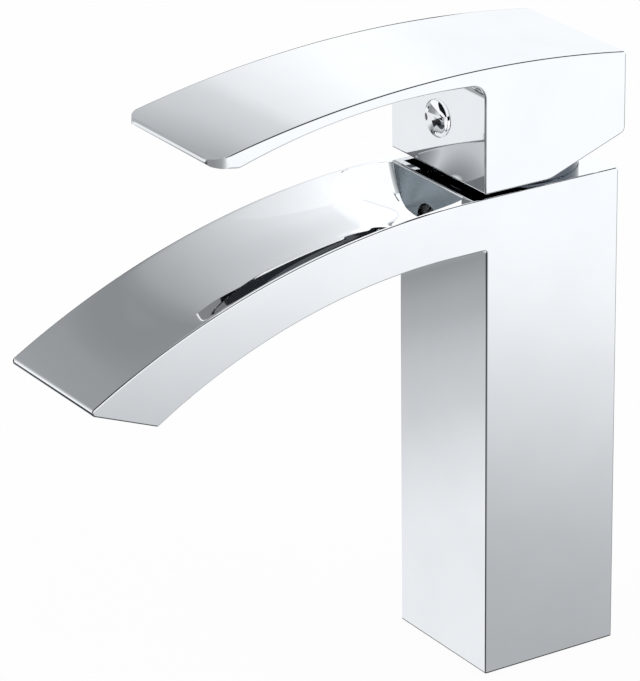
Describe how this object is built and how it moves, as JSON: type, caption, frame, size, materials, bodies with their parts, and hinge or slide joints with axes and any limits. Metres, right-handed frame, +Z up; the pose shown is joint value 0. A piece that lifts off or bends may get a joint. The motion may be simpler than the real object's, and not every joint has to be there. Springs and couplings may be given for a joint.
{
  "type": "basin faucet",
  "caption": "Chrome lever faucet for a basin: a square column, an arched spout with an open trough on top, and a block handle with a curved lever that turns and lifts over a ceramic cartridge.",
  "frame": {"origin": "centre of the column's base, on the deck that it stands on", "axes": "+Z up along the column and the handle's turning axis, -Y forward along the spout and the lever, +X to the right of someone who looks along +Y"},
  "size_m": [0.045, 0.1656, 0.1776],
  "materials": {
    "chrome": "polished",
    "black_enamel": "gloss",
    "ceramic": "lapped",
    "cartridge_plastic": "satin",
    "guide_plastic": "satin",
    "seal_rubber": "matte",
    "brass": "turned",
    "steel": "turned"
  },
  "bodies": {
    "body": {"faucet_body": "chrome", "base_gasket": "seal_rubber", "cartridge_base": "cartridge_plastic", "inlet_seals": "seal_rubber", "disc_seals": "seal_rubber", "fixed_ceramic_disc": "ceramic", "cartridge_housing": "cartridge_plastic", "housing_o_ring": "seal_rubber", "retaining_nut": "brass", "bonnet": "chrome"},
    "turning_guide": {"stem_guide": "guide_plastic", "guide_o_ring": "seal_rubber", "stem_pin": "steel"},
    "lever": {"stem": "steel", "handle_lever": "chrome", "set_screw": "steel", "indicator_plug": "chrome", "hot_mark": "black_enamel", "cold_mark": "black_enamel"},
    "valve_slider": {"moving_ceramic_disc": "ceramic", "disc_carrier": "guide_plastic"}
  },
  "joints": [
    {"name": "turn", "type": "hinge", "parent": "body", "child": "turning_guide", "pos_m": [0, 0, 0.1455], "axis": [0, 0, 1], "range_deg": [-45, 45]},
    {"name": "lift", "type": "hinge", "parent": "turning_guide", "child": "lever", "pos_m": [0, 0, 0.1455], "axis": [-1, 0, 0], "range_deg": [0, 20]},
    {"name": "slide", "type": "slide", "parent": "turning_guide", "child": "valve_slider", "axis": [0, -1, 0], "range_m": [0, 0.0056]}
  ],
  "couplings": [
    {"joint": "slide", "follows": "lift", "m_per_rad": 0.015971}
  ]
}
